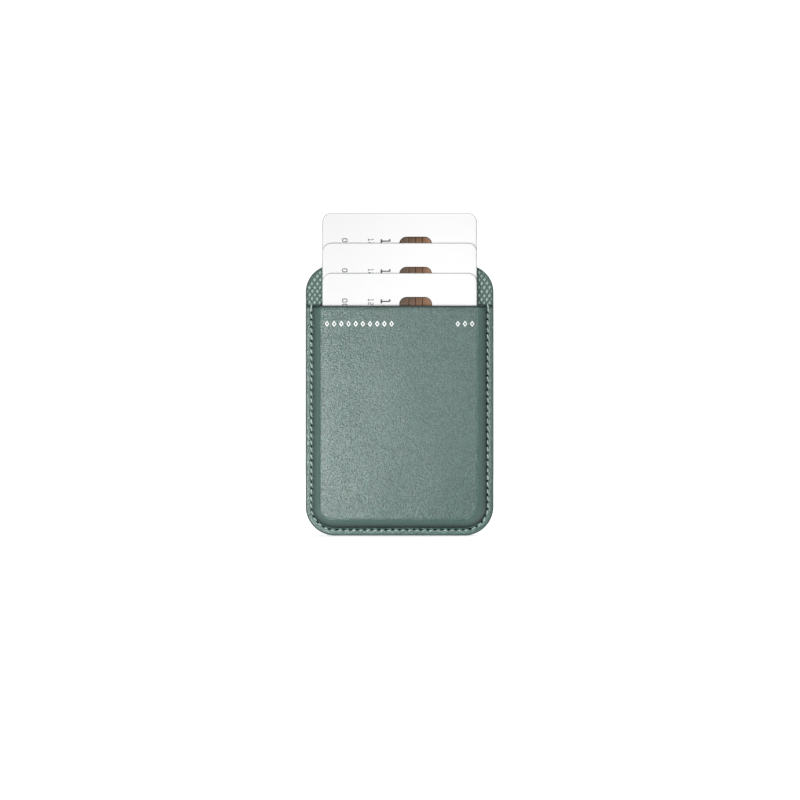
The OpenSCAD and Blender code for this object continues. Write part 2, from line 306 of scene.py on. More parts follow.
def leather(name, colour, grain_mm=0.48, depth_mm=0.077, rough=0.31):
    """Pebbled leather: domed cells of uneven height and tone on a fine noise, with soft creases. Where the
    grain is stretched out the dye is redder. The shade mark paints shade and light on it, and in the dips
    and the painted shade its red goes first."""
    m = Material(name, IOR=1.6)
    grain = m.mark("grain")
    place = m.warped(1.0, 0.25)
    distance = m.cells(grain_mm, place)
    cell = m.node("ShaderNodeSeparateColor", {0: m.cells(grain_mm, place, "Color")}).outputs
    uneven = m.noise(grain_mm * 1.1, 1)
    crease = m.range(m.noise(2.6, 3, 0.6, m.warped(4.0, 2.0)), 0.46, 0.53)
    pebble = m.sum(m.product(distance, distance, -1.1), 1.0)
    fine = m.noise(0.2, 3, 0.6)
    height = m.sum(pebble, m.product(uneven, 0.6), m.product(fine, 0.1), m.product(crease, 0.03))
    m.bump(m.product(height, grain), depth_mm)
    clouds = m.vary(m.noise(9.0, 3, 0.55), 0.985, 1.015)
    tone = m.product(m.range(cell[0], 0.0, 1.0, -0.24, 0.24), grain, grain)
    dip = m.product(m.range(pebble, 0.5, 0.9, -0.35, 0.08), grain)
    stretched = (colour[0] * 1.25, colour[1] * 1.02, colour[2] * 1.05)
    toned = m.shade(m.blend(grain, stretched, colour), clouds, m.sum(tone, 1.0))
    toned = m.tinted(toned, m.sum(dip, 1.0), 2.2, 1.35)
    # The shade mark is painted shade in the needle holes and along the wall's foot, and painted light on
    # the bottom flange and the wall.
    m.set("Base Color", m.tinted(toned, m.mark("shade"), 1.15, 1.06))
    worn = m.range(cell[1], 0.0, 1.0, rough - 0.02, rough + 0.03)
    m.set("Roughness", m.sum(m.range(pebble, 0.3, 0.8, 0.1, 0.0), worn))
    return m.material


def edge_paint(name, colour):
    """Brushed-on edge paint: satin, with faint runs along the edge and small pits."""
    m = Material(name, IOR=1.4)
    runs = m.noise(0.5, 3, 0.6)
    pits = m.range(m.cells(0.35), 0.1, 0.45)
    m.set("Base Color", m.shade(colour, m.vary(runs, 0.8, 1.25)))
    m.set("Roughness", m.vary(runs, 0.45, 0.6))
    m.bump(m.sum(runs, m.product(pits, 0.4)), 0.03)
    return m.material


def thread_fibre(name, colour):
    """Twisted thread: fine fibres, soft sheen."""
    m = Material(name, IOR=1.5, Sheen_Weight=0.25, Sheen_Roughness=0.5)
    fibres = m.noise(0.06, 2, 0.6)
    m.set("Base Color", m.shade(colour, m.vary(fibres, 0.82, 1.14), m.mark("shade")))
    m.set("Roughness", m.vary(fibres, 0.5, 0.7))
    m.bump(fibres, 0.02)
    return m.material


def lining_leather(name, groove, top):
    """Embossed lining: paler on its raised diamonds, unevenly, and dark in its grooves."""
    m = Material(name, IOR=1.5)
    fine = m.noise(0.16, 3, 0.6)
    raised = m.mark("raised")
    top_share = m.product(raised, m.range(m.noise(1.6, 3), 0.25, 0.6, 0.6, 1.0))
    colour = m.blend(top_share, groove, top)
    m.set("Base Color", m.shade(colour, m.vary(fine, 0.92, 1.08), m.mark("shade")))
    m.set("Roughness", m.range(raised, 0, 1, 0.6, 0.38))
    m.bump(fine, 0.025)
    return m.material


def microfibre(name, colour):
    """Matt brushed cloth with a soft nap."""
    m = Material(name, IOR=1.45, Sheen_Weight=0.3, Sheen_Roughness=0.6, Roughness=0.85)
    nap = m.noise(0.1, 4, 0.7)
    m.set("Base Color", m.shade(colour, m.vary(nap, 0.75, 1.2)))
    m.bump(nap, 0.04)
    return m.material


def card_plastic(name):
    """Printed white card: faintly darker towards the left, a painted shade, and a fine matt overlay."""
    m = Material(name, IOR=1.47, Roughness=0.42)
    x = m.node("ShaderNodeSeparateXYZ", {0: m.place}).outputs[0]
    # Painted shade: the card darkens a little towards the left.
    left_shade = m.range(x, -27.0, 24.0, 0.895, 1.0)
    speck = m.noise(0.25, 2)
    m.set("Base Color", m.shade((0.85, 0.85, 0.853), left_shade, m.vary(speck, 0.99, 1.005)))
    m.set("Roughness", m.vary(m.noise(6.0, 3), 0.36, 0.46))
    m.bump(m.noise(0.12, 2), 0.004)
    return m.material


def card_edge(name):
    """Cut edge of the laminate: greyer, partly as a cut core is and partly as painted shade that draws the
    card's outline, with fine lines along it.
    """
    m = Material(name, IOR=1.47, Roughness=0.5)
    lines = m.noise(0.12, 2, stretch=(0.1, 1.0, 0.1))
    m.set("Base Color", m.shade(srgb(160, 164, 162), m.vary(lines, 0.85, 1.1)))
    m.bump(lines, 0.01)
    return m.material


def contact_metal(name):
    """Plated chip contacts with a painted reflection that makes them warmer and lighter to the right, and a
    faint rolling grain.
    """
    m = Material(name, Metallic=0.35, IOR=1.6, Roughness=0.38)
    x = m.node("ShaderNodeSeparateXYZ", {0: m.place}).outputs[0]
    # tone is a painted reflection, from darker on the left to warmer and lighter on the right.
    tone = m.range(x, 0.0, 11.5)
    colour = m.blend(tone, srgb(70, 51, 32), srgb(108, 72, 43))
    grain = m.noise(0.2, 2, stretch=(1.0, 1.0, 0.15))
    m.set("Base Color", m.shade(colour, m.vary(grain, 0.97, 1.03)))
    m.set("Roughness", m.vary(grain, 0.36, 0.44))
    m.bump(grain, 0.002)
    return m.material


def plain(name, colour, rough, grain_mm, contrast=0.1, bump_mm=0.01, stretch=None, **constants):
    """A simple surface with a fine grain of its own."""
    m = Material(name, **constants)
    grain = m.noise(grain_mm, 3, 0.6, stretch=stretch)
    m.set("Base Color", m.shade(colour, m.vary(grain, 1 - contrast, 1 + contrast)))
    m.set("Roughness", m.vary(grain, rough - 0.06, rough + 0.06))
    m.bump(grain, bump_mm)
    return m.material


FRONT_LEATHER = leather("front_leather", srgb(60, 89, 83))
BACK_LEATHER = leather("back_leather", srgb(72, 99, 93))
LINING = lining_leather("lining_leather", srgb(68, 90, 84), srgb(138, 162, 154))
TRAY = microfibre("pocket_lining", srgb(72, 92, 87))
RIM_PAINT = edge_paint("rim_paint", srgb(64, 86, 80))
# The mouth's paint is far darker than the rim's: edge paint with a painted shadow along the mouth.
MOUTH_PAINT_AND_SHADOW = edge_paint("mouth_paint_and_shadow", srgb(24, 43, 38))
THREAD = thread_fibre("thread", srgb(178, 203, 194))
CARD_FACE = card_plastic("card_plastic")
CARD_EDGE = card_edge("card_edge")
CHIP_BASE = plain("chip_base", srgb(48, 34, 25), 0.8, 0.3, IOR=1.2)
CONTACT = contact_metal("chip_contact")
PRINT_DARK = plain("print_dark", srgb(66, 66, 68), 0.4, 0.2, bump_mm=0.002)
PRINT_PALE = plain("print_pale", srgb(88, 88, 90), 0.4, 0.2, bump_mm=0.002)
FOIL = plain("foil", srgb(240, 243, 242), 0.35, 0.25, 0.04, 0.006, IOR=1.5)
STRIPE = plain("magnetic_stripe", srgb(32, 29, 28), 0.25, 0.4, bump_mm=0.002, stretch=(1, 1, 0.1), IOR=1.5)
SIGNATURE = plain("signature_panel", srgb(228, 227, 219), 0.75, 0.3, 0.04, 0.006)

PLATING = plain("magnet_plating", srgb(196, 198, 202), 0.22, 0.15, 0.05, 0.003, Metallic=1.0)

INNER_MATERIALS = {
    "magnet_carrier": plain("fibre_board", srgb(70, 72, 70), 0.8, 0.35, 0.25, 0.03),
    "ring_magnets": PLATING,
    "alignment_magnet": PLATING,
    "magnet_yoke": plain("yoke_steel", srgb(150, 152, 155), 0.35, 0.2, 0.1, 0.005, (1, 1, 0.08),
                         Metallic=1.0),
    "shield_sheet": plain("shield_foil", srgb(160, 162, 160), 0.4, 0.3, 0.08, 0.005, (0.08, 1, 1),
                          Metallic=1.0),
    "front_stiffener": plain("stiffener_sheet", srgb(222, 218, 206), 0.6, 0.5, 0.04, 0.008),
    "seam_tape": plain("tape", srgb(232, 226, 206), 0.5, 0.6, 0.04, 0.006),
}


# ---- The outline, as a ring of stations ----

class Ring:
    """Stations round an upright rounded outline: down the left side, along the bottom, up the right side
    and, if it is closed, over the top. add_part() says what each station holds."""

    def __init__(self, half_w, bottom, top, low_r, top_r, step, closed):
        self.closed = closed
        self.half_w, self.parts = half_w, []
        side_top = top - top_r if closed else top
        side_low = bottom + low_r
        self.rows = max(2, round((side_top - side_low) / step))
        self.columns = max(2, round(2 * (half_w - low_r) / step))
        z = np.linspace(side_top, side_low, self.rows + 1)
        reach = np.interp(z, [side_low, side_top], [low_r, top_r if closed else low_r])
        across = np.linspace(-1, 1, self.columns + 1)
        base_x = across * (half_w - low_r)
        base_seam = SEAM_SIDE + SEAM_ARC + SEAM_BASE / 2 + base_x
        rows, columns = np.arange(self.rows + 1), np.arange(self.columns + 1)
        share = np.linspace(0, 1, max(6, round(math.pi / 2 * low_r / step)) + 1)[1:-1]
        left_seam = SEAM_SIDE + share * SEAM_ARC
        right_seam = left_seam + SEAM_ARC + SEAM_BASE
        up_seam = SEAM_LENGTH - MOUTH + z[::-1]
        self.add_part(-half_w, z, 1, 0, reach, MOUTH - z, 0, rows, 0)
        self.add_corner(share, -1, side_low, low_r, 2, left_seam, share, self.rows, 0)
        self.add_part(base_x, bottom, 0, 1, low_r, base_seam, 1, self.rows, columns)
        self.add_corner(share, 1, side_low, low_r, 3, right_seam, 1 - share, self.rows, self.columns)
        self.add_part(half_w, z[::-1], -1, 0, reach[::-1], up_seam, 0, rows[::-1], self.columns)
        if closed:
            self.add_corner(share, 1, side_top, top_r, 0, OFF_SEAM, 0, 0, self.columns)
            self.add_part(-across * (half_w - top_r), top, 0, -1, top_r, OFF_SEAM, 0, 0, columns[::-1])
            self.add_corner(share, -1, side_top, top_r, 1, OFF_SEAM, 0, 0, 0)
        values = np.concatenate(self.parts, 1)
        self.x, self.z, self.nx, self.nz, self.reach, self.seam, self.turned = values[:7]
        self.row, self.column = values[7:].astype(int)
        self.right = self.x > 0

    def add_part(self, *values):
        """Adds stations. Each has its x and z, its direction inwards (x and z), how far in the ring
        reaches, its distance along the seam, how far its lower corner has turned, and the row and column
        of the inner grid that it joins."""
        self.parts.append(np.stack([b.astype(float) for b in np.broadcast_arrays(*values)]))

    def add_corner(self, share, sign, centre_z, r, quarter, seam, turned, row, column):
        """Adds stations at shares of a quarter of a circle."""
        a = (quarter + share) * math.pi / 2
        x = sign * (self.half_w - r) + r * np.cos(a)
        z = centre_z + r * np.sin(a)
        self.add_part(x, z, -np.cos(a), -np.sin(a), r, seam, turned, row, column)

    def at(self, inset):
        """Places of the stations at an inset, which may have one row for each ring."""
        return self.x + self.nx * inset, self.z + self.nz * inset

    def inner_grid(self):
        """Places of the grid that fills the ring, row by row from its top."""
        x, z = self.at(self.reach)
        left, right = self.nx == 1, self.nx == -1
        t = np.linspace(0, 1, self.columns + 1)
        across = x[left][:, None] * (1 - t) + x[right][::-1, None] * t
        return across, np.repeat(z[left][:, None], len(t), 1)


def add_skin(shape, ring, inset, depth, fill_depth, marks=None, fill_marks=None):
    """One face of a panel: rings of points at the insets, with one row for each ring, and a grid inside
    them. Returns the outermost ring and the line of points along the mouth."""
    grid_x, grid_z = ring.inner_grid()
    inner = shape.add(grid_x, fill_depth, grid_z, **(fill_marks or {}))
    x, z = ring.at(inset)
    band = shape.add(x, depth, z, **(marks or {}))
    shape.grid(np.vstack([band, inner[ring.row, ring.column]]), wrap=ring.closed)
    shape.grid(inner)
    return band[0], np.concatenate([band[:, 0], inner[0], band[::-1, -1]])


def spread(*runs):
    """Insets made of runs (start, end, step), each up to the next one's start."""
    return np.concatenate([np.arange(a, b - step * 0.4, step) for a, b, step in runs])


# ---- Front leather ----

# Each triple is for the left side, the bottom and the right side.
FOOT = (2.62, 2.85, 2.5)        # insets of the foot of the raised wall
EDGE = (5.25, 5.95, 6.15)       # insets where the wall meets the flat
STRAIGHT = (0.45, 0.08, 0.03)   # how straight the wall is: 0 is round and 1 is straight
HOLE_DEPTH = 0.75
LEATHER_TOP = MOUTH - 0.3       # the leather ends under the mouth's edge paint


def along_corner(ring, left, bottom, right):
    """A value that changes from a side's to the bottom's round each lower corner."""
    side = np.where(ring.right, right, left)
    return side + (bottom - side) * smooth(0, 1, ring.turned)


def from_hole(ring):
    """Distance along the seam from the nearest needle hole, which is 9 where there is no seam."""
    off = ring.seam - np.round(ring.seam / STITCH) * STITCH
    return np.where((ring.seam < -0.2) | (ring.seam > SEAM_LENGTH + 0.2), 9.0, off)


def hole_shape(ring, inset):
    """1 in a needle hole, a short slit along the seam, and 0 away from it."""
    return hump(from_hole(ring), 0, 0.6 + 0.22 * ring.turned, 4) * hump(inset, SEAM_INSET + 0.08, 0.2)


def flat_surface(x, z):
    """Depth of the flat of the front: slightly crowned, uneven, and pulled back at the mouth."""
    up = np.clip((z - BOTTOM) / (MOUTH - BOTTOM), 0, 1)
    crown = 0.22 - 0.55 * (x / 27) ** 2 - 0.2 * (1 - up) ** 4 - 0.1 * smooth(-24.6, -27.6, x)
    uneven = 0.03 * ripple(x, z, 21, 3) + 0.008 * ripple(x, z, 6, 4) + 0.003 * ripple(x, z, 1.5, 5, 24)
    return PANEL_DEPTH - 0.2 + crown + uneven - 0.16 * smooth(MOUTH - 2.0, MOUTH, z)


def levelled(t, width):
    """A climb from 0 that levels off softly at 1."""
    near = np.maximum(width - np.abs(t - 1), 0) / width
    return np.clip(t, 0, 1) - near ** 2 * width / 4


def front_surface(ring, inset):
    """Depth of the front leather over its flange, its wall and the edge of its flat."""
    x, z = ring.at(inset)
    edge = along_corner(ring, *EDGE)
    straight = along_corner(ring, *STRAIGHT) * (1 - 0.6 * np.sin(math.pi * ring.turned))
    foot = along_corner(ring, *FOOT)
    t = levelled((inset - foot) / (edge - foot), 0.25)
    climb = straight * t + (1 - straight) * np.sqrt(1 - (1 - t) ** 2)
    flange = FLANGE_DEPTH - 0.07 * (1 - smooth(SKIN_INSET, 0.7, inset))
    flange = flange + 0.05 * hump(inset, 1.25, 0.45) - 0.1 * hump(inset, SEAM_INSET, 0.3)
    flange = flange - 0.12 * hump(inset, foot - 0.05, 0.2) + 0.012 * ripple(x, z, 2.2, 6)
    between_holes = hump(from_hole(ring), STITCH / 2, 0.6)
    flange = flange + 0.05 * (between_holes - 0.5) * hump(inset, SEAM_INSET, 0.5)
    surface = flange + (flat_surface(x, z) - flange) * climb
    return surface - HOLE_DEPTH * hole_shape(ring, inset)


def front_marks(ring, inset):
    """How strong the grain is and how dark the leather is: stretched smooth on the wall, with painted shade
    in the needle holes and along the wall's foot, painted light on the bottom flange, and paler on the
    wall, partly as stretched leather is and partly as painted light.
    """
    edge = along_corner(ring, *EDGE)
    fade = along_corner(ring, 0.9, 1.6, 2.2)
    foot = along_corner(ring, *FOOT)
    on_wall = smooth(foot - 0.3, foot + 0.1, inset) * (1 - smooth(edge - fade, edge + 0.25, inset))
    # dark is painted shade along the foot of the wall, strongest along the bottom.
    at_foot = hump(inset, foot, along_corner(ring, 1.2, 1.2, 1.4)) * (inset > foot - 0.2)
    dark = along_corner(ring, 0.28, 0.65, 0.42) * at_foot
    # in_hole paints shade into the needle holes.
    in_hole = np.clip(hole_shape(ring, inset) * 1.7, 0, 1)
    near_paint = 1 - 0.2 * (1 - smooth(PAINT_W, PAINT_W + 0.35, inset))
    on_flange = 1 - smooth(foot - 0.5, foot - 0.2, inset)
    # The bottom flange is painted lighter as painted light, and the wall paler, partly as stretched leather
    # is and partly as painted light.
    paler_and_painted_light = 1 + along_corner(ring, 0.0, 0.42, 0.0) * on_flange + 0.2 * on_wall
    shade = (1 - 0.9 * in_hole) * near_paint * paler_and_painted_light * (1 - dark)
    return {"grain": 1 - 0.85 * on_wall, "shade": shade}


def make_front_leather():
    shape = Shape()
    ring = Ring(HALF_W, BOTTOM, LEATHER_TOP, BOTTOM_R, 0, 0.335, closed=False)
    inset = spread((SKIN_INSET, 0.9, 0.2), (0.9, 1.7, 0.2), (1.7, 2.5, 0.09), (2.5, 3.1, 0.1),
                   (3.1, 5.1, 0.2), (5.1, 6.5, 0.1), (6.5, 7.4, 0.3), (7.4, 10.2, 0.6))[:, None]
    grid_x, grid_z = ring.inner_grid()
    rim, mouth = add_skin(shape, ring, inset, front_surface(ring, inset), flat_surface(grid_x, grid_z),
                          front_marks(ring, inset), {"grain": 1.0, "shade": 1.0})
    # The inner face follows the pocket's side, which is steeper than the outside.
    side = along_corner(ring, 5.2, 4.45, 5.2) - 0.62 * np.sin(math.pi * ring.turned)
    steps = np.array([(0.02, 5.5), (0.15, 5.95), (0.45, 6.25), (0.9, INNER_FACE)])
    inner_inset = np.vstack([np.full_like(side, SKIN_INSET), np.full_like(side, 2.0), side,
                             *(side + step for step in steps[:, 0])])
    inner_depth = np.array([FLANGE_BACK] * 3 + list(steps[:, 1]))[:, None]
    inner_rim, inner_mouth = add_skin(shape, ring, inner_inset, inner_depth, INNER_FACE)
    shape.grid(np.vstack([rim, inner_rim]))
    shape.face(list(mouth) + list(inner_mouth[::-1]))
    new_piece("front_leather_moulded", shape, [FRONT_LEATHER], "holder", "front_leather",
              75)


# ---- Back leather ----

MAGNET_RING = (23.0, 27.7)


def back_surface(ring, inset):
    """Depth of the back over its rolled edge, its stitching groove and its needle holes."""
    roll = 0.1 * (1 - smooth(SKIN_INSET, 0.9, inset))
    x, z = ring.at(inset)
    on_seam = (ring.seam > -0.3) & (ring.seam < SEAM_LENGTH + 0.3)
    trough = 0.3 * hump(inset, SEAM_INSET, 0.4) * on_seam
    return roll + trough + flat_back(x, z) + HOLE_DEPTH * 0.8 * hole_shape(ring, inset)


def flat_back(x, z):
    """The back is flat but for a faint print of the magnet ring and a slight unevenness."""
    r = np.hypot(x, z)
    print_through = 0.03 * (hump(r, MAGNET_RING[0] - 0.3, 0.5) + hump(r, MAGNET_RING[1] + 0.3, 0.5))
    return 0.02 + print_through + 0.008 * ripple(x, z, 14, 8) + 0.005 * ripple(x, z, 1.5, 9, 24)


def make_back_leather():
    shape = Shape()
    ring = Ring(HALF_W, BOTTOM, TOP, BOTTOM_R, TOP_R, 0.36, closed=True)
    inset = spread((SKIN_INSET, 0.9, 0.2), (0.9, 1.7, 0.25), (1.7, 2.5, 0.1), (2.5, 3.3, 0.3),
                   (3.3, 9.0, 1.2))[:, None]
    hole = np.clip(hole_shape(ring, inset) * 1.6, 0, 1)
    near_paint = 1 - 0.25 * (1 - smooth(PAINT_W, PAINT_W + 0.35, inset))
    grid_x, grid_z = ring.inner_grid()
    # shade paints shade into the needle holes and darkens the leather next to the edge paint.
    marks = {"grain": 0.9, "shade": (1 - 0.8 * hole) * near_paint}
    rim = add_skin(shape, ring, inset, back_surface(ring, inset), flat_back(grid_x, grid_z), marks,
                   {"grain": 0.9, "shade": 1.0})[0]
    x, z = ring.at(SKIN_INSET)
    inner = shape.add(x, BACK_LEATHER_T, z)
    shape.grid(np.vstack([rim, inner]), wrap=True)
    shape.face(list(inner))
    new_piece("back_leather_sewn", shape, [BACK_LEATHER], "holder", "back_leather", 75)


# ---- Linings ----

DIAMOND_W, DIAMOND_H = 1.85, 2.68


def from_edge(x, z):
    """Distance in from the upper part of the outline."""
    past_x = np.abs(x) - (HALF_W - TOP_R)
    past_z = z - (TOP - TOP_R)
    past = np.hypot(np.maximum(past_x, 0), np.maximum(past_z, 0))
    return TOP_R - past - np.minimum(np.maximum(past_x, past_z), 0)


def lining_rows():
    """Heights of the lining's rows, fine where the diamonds are, and half its width at each."""
    top_r, low_r = TOP_R - SKIN_INSET, BOTTOM_R - SKIN_INSET
    side_top, side_low = TOP - TOP_R, BOTTOM + BOTTOM_R
    turn = np.sin(np.linspace(0, math.pi / 2, 100))
    z = np.concatenate([side_low - low_r * turn[::-9], np.linspace(side_low, MOUTH - 4, 12)[1:],
                        np.arange(MOUTH - 3.8, side_top, 0.15), side_top + top_r * turn])
    half_w = np.full(len(z), HALF_W - SKIN_INSET)
    for on_turn, middle, r in ((z > side_top, side_top, top_r), (z < side_low, side_low, low_r)):
        rounding = np.sqrt(np.clip(r ** 2 - (z - middle) ** 2, 0, None)) - r
        half_w = half_w + np.where(on_turn, rounding, 0)
    return z[:, None], half_w[:, None]


def diamonds(x, z):
    """0 in the middle of each upright diamond of the embossing and 0.5 along its sides."""
    x, z = x + 0.07 * ripple(x, z, 7, 11), z + 0.09 * ripple(x, z, 7, 12)
    rising = x / DIAMOND_W + z / DIAMOND_H
    falling = x / DIAMOND_W - z / DIAMOND_H
    return np.maximum(np.abs(rising - np.round(rising)), np.abs(falling - np.round(falling)))


def make_back_lining():
    """The lining is embossed with upright diamonds, which run on a little way below the mouth."""
    shape = Shape()
    z, half_w = lining_rows()
    x = half_w * np.linspace(-1, 1, 451)
    z = np.broadcast_to(z, x.shape)
    from_middle = diamonds(x, z)
    within = smooth(MOUTH - 3.9, MOUTH - 3.2, z) * smooth(0.4, 0.7, from_edge(x, z))
    raised = smooth(0.36, 0.22, from_middle) * within
    # shade is painted shade: darker towards and below the mouth, where the front panel shades the lining,
    # and a dark spot painted for the shade of the wrap stitch's needle hole.
    needle_hole = np.hypot(np.abs(x) - HALF_W + SEAM_INSET, z - MOUTH - 0.7)
    shade = (0.55 + 0.45 * smooth(MOUTH - 1.5, MOUTH + 1.2, z)) * (1 - 0.85 * hump(needle_hole, 0, 0.35))
    depth = LINING_DEPTH - 0.2 + 0.19 * smooth(0.41, 0.27, from_middle) * within
    depth = depth + 0.008 * ripple(x, z, 0.9, 13, 20)
    depth = np.where(z < MOUTH - 3.2, np.maximum(depth, LINING_DEPTH - 0.05), depth)
    front = shape.add(x, depth, z, raised=raised, shade=shade)
    shape.grid(front)
    border = np.concatenate([front[0, :-1], front[:-1, -1], front[-1, :0:-1], front[:0:-1, 0]])
    places = shape.points[border]
    behind = shape.add(places[:, 0], LINING_BACK, places[:, 2])
    shape.grid(np.vstack([border, behind]), wrap=True)
    shape.face(list(behind))
    new_piece("back_lining_embossed", shape, [LINING], "holder", "back_lining", 75)


def make_front_lining():
    """The tray of soft lining inside the front, rounded along its inner edges."""
    shape = Shape()
    top = MOUTH - 0.25
    ring = Ring(POCKET_HALF_W, POCKET_FLOOR, top, POCKET_R, 0, 0.8, closed=False)
    foot = LINING_DEPTH + 0.03
    inner = np.array([(0, foot), (0, POCKET_DEPTH - 0.3), (0.09, POCKET_DEPTH - 0.09), (0.3, POCKET_DEPTH)])
    outer = np.array([(-TRAY_T, foot), (-TRAY_T, POCKET_DEPTH - 0.2), (-0.28, TRAY_DEPTH - 0.12),
                      (0, TRAY_DEPTH)])
    rim, mouth = add_skin(shape, ring, inner[:, :1], inner[:, 1:], POCKET_DEPTH)
    outer_rim, outer_mouth = add_skin(shape, ring, outer[:, :1], outer[:, 1:], TRAY_DEPTH)
    shape.grid(np.vstack([rim, outer_rim]))
    shape.face(list(mouth) + list(outer_mouth[::-1]))
    new_piece("front_lining_tray", shape, [TRAY], "holder", "front_lining")


# ---- Edge paint ----

def make_rim_paint():
    """A rounded bead of paint round the whole edge, thicker below the mouth where the front is sewn on."""
    shape = Shape()
    ring = Ring(HALF_W, BOTTOM, TOP, BOTTOM_R, TOP_R, 0.5, closed=True)
    sewn = (ring.z < MOUTH) & (np.abs(ring.z - MOUTH) >= 0.01)
    front = np.where(sewn, FLANGE_DEPTH, LINING_DEPTH)
    lip = PAINT_W
    turn = [(lip * (1 - math.sin(a)), lip * (1 - math.cos(a))) for a in np.linspace(0, math.pi / 2, 6)]
    under = [(0.9, 0.3), (lip + 0.15, 0.08)]        # insets and depths where the paint runs in under a face
    layers = np.array([0.25, 0.5, 0.75])[:, None]
    wave = 0.6 * np.abs(0.018 * ripple(ring.seam, ring.seam * 0, 5, 21))
    edge_inset = 0.015 + 0.01 * np.cos(layers * 4 * math.pi) + wave
    edge_depth = lip + (front - 2 * lip) * layers
    back = np.array(under + turn)[:, :, None]
    ahead = np.array([(drop, inset) for inset, drop in turn] + under[::-1])[:, :, None]
    flat = np.zeros(len(ring.x))
    inset = np.vstack([back[:, 0] + flat, edge_inset, ahead[:, 0] + flat])
    depth = np.vstack([back[:, 1] + flat, edge_depth, front - ahead[:, 1]])
    x, z = ring.at(inset)
    band = shape.add(x, depth, z)
    shape.grid(np.vstack([band, band[:1]]), wrap=True)
    new_piece("rim_paint_bead", shape, [RIM_PAINT], "holder", "rim_edge_paint", 60)


def mouth_outline():
    """Outline of the front panel at the mouth: to the right outside, then back inside the pocket."""
    ring = Ring(HALF_W, BOTTOM, LEATHER_TOP, BOTTOM_R, 0, 0.5, closed=False)
    inset = spread((0.06, 2.6, 0.2), (2.6, 3.0, 0.08), (3.0, 6.6, 0.15), (6.6, 10.2, 0.6))
    proud = 0.05
    outside = front_surface(ring, inset[:, None]) + HOLE_DEPTH * hole_shape(ring, inset[:, None]) + proud
    middle = np.linspace(-HALF_W + BOTTOM_R, HALF_W - BOTTOM_R, 60)
    line = [*zip(-HALF_W + inset, outside[:, 0]), *zip(middle, flat_surface(middle, LEATHER_TOP) + proud),
            *zip(HALF_W - inset[::-1], outside[::-1, -1])]
    bend_r = 0.3
    bend_x, bend_depth = POCKET_HALF_W - bend_r, POCKET_DEPTH - bend_r
    inside = [(x, LINING_DEPTH + 0.02) for x in (HALF_W - 0.06, HALF_W - 1.5, POCKET_HALF_W)]
    for a in np.linspace(0, math.pi / 2, 5):
        inside.append((bend_x + bend_r * math.cos(a), bend_depth + bend_r * math.sin(a)))
    inside += [(-x, depth) for x, depth in inside[::-1]]
    return np.array(line + inside)


def make_mouth_paint():
    """The painted edge of the front panel at the mouth: leather and lining together, rounded over."""
    outline = mouth_outline()
    ahead = unit(np.roll(outline, -1, 0) - np.roll(outline, 1, 0))
    inward = np.stack([ahead[:, 1], -ahead[:, 0]], 1)
    # Along the flange the bead is bedded in the lining behind it.
    bedded = (np.abs(outline[:, 0]) > POCKET_HALF_W - 0.01) & (outline[:, 1] < LINING_DEPTH + 0.05)
    height, corner = 0.8, 0.2
    steps = [(height, 0.04), (height - 0.08, 0.0)]
    for a in np.linspace(0, math.pi / 2, 6):
        steps.append((corner * (1 - math.sin(a)), corner * (1 - math.cos(a))))
    loops = []
    for drop, shrink in steps:
        place = outline + inward * shrink
        place[bedded] = outline[bedded] - (0, 0.16)
        loops.append((*place.T, MOUTH - 0.08 - drop))
    shape = Shape()
    shape.tube(loops)
    new_piece("mouth_paint_bead", shape, [MOUTH_PAINT_AND_SHADOW], "holder", "mouth_edge_paint", 60)


# ---- Thread ----

PLY_R = 0.14
PLY_OFFSET = 0.115
PLY_SIDES = 6


def seam_place(s, offset):
    """Place at a distance along the seam, moved outwards from it by an offset."""
    left_turn = np.clip((s - SEAM_SIDE) / SEAM_ARC, 0, 1)
    right_turn = np.clip((s - SEAM_SIDE - SEAM_ARC - SEAM_BASE) / SEAM_ARC, 0, 1)
    angle = (2 + left_turn + right_turn) * math.pi / 2
    down = np.clip(s, None, SEAM_SIDE)
    up = np.clip(s - SEAM_LENGTH + SEAM_SIDE, 0, None)
    centre_x = -HALF_W + BOTTOM_R + np.clip(s - SEAM_SIDE - SEAM_ARC, 0, SEAM_BASE)
    centre_z = MOUTH - down + up
    r = BOTTOM_R - SEAM_INSET + offset
    return centre_x + r * np.cos(angle), centre_z + r * np.sin(angle)


def add_thread(shape, path, turns):
    """A twisted thread: two plies, which are thin tubes that wind round the path."""
    ahead = unit(np.gradient(path, axis=0))
    across = unit(np.cross(ahead, (0.0, 1.0, 0.0)))
    out = np.cross(across, ahead)
    around = np.linspace(0, 2 * math.pi, PLY_SIDES, endpoint=False)[:, None]
    for phase in (0, math.pi):
        twist = (phase + np.linspace(0, turns, len(path)) * 2 * math.pi)[:, None]
        centre = path + PLY_OFFSET * (across * np.cos(twist) + out * np.sin(twist))
        rings = [c + PLY_R * (a * np.cos(around) + o * np.sin(around))
                 for c, a, o in zip(centre, across, out)]
        shape.tube([ring.T for ring in rings], shade=1.0)


def stitch_path(index, rise, surface):
    """A stitch comes up beside its first hole, runs over the leather and goes down into the next hole.
    rise is 1 on the front and less than 0 on the back."""
    share = (index + 0.5) / STITCHES
    on_base = smooth(0.3, 0.4, share) * smooth(0.7, 0.6, share)
    t = np.linspace(0.16 + 0.07 * on_base, 0.86 - 0.05 * on_base, 13)
    rng = np.random.default_rng(100 + index)
    lean = 0.22 - 0.1 * on_base + rng.uniform(-0.05, 0.05)
    x, z = seam_place((index + t) * STITCH, (0.56 - t) * 2 * lean + 0.05 + 0.15 * on_base)
    peak = 0.3 + rng.uniform(-0.03, 0.03)
    lift = peak - 1.0 * np.abs((t - 0.51) / (0.35 - 0.06 * on_base)) ** 4
    return np.stack([x, surface + rise * lift, z], 1)


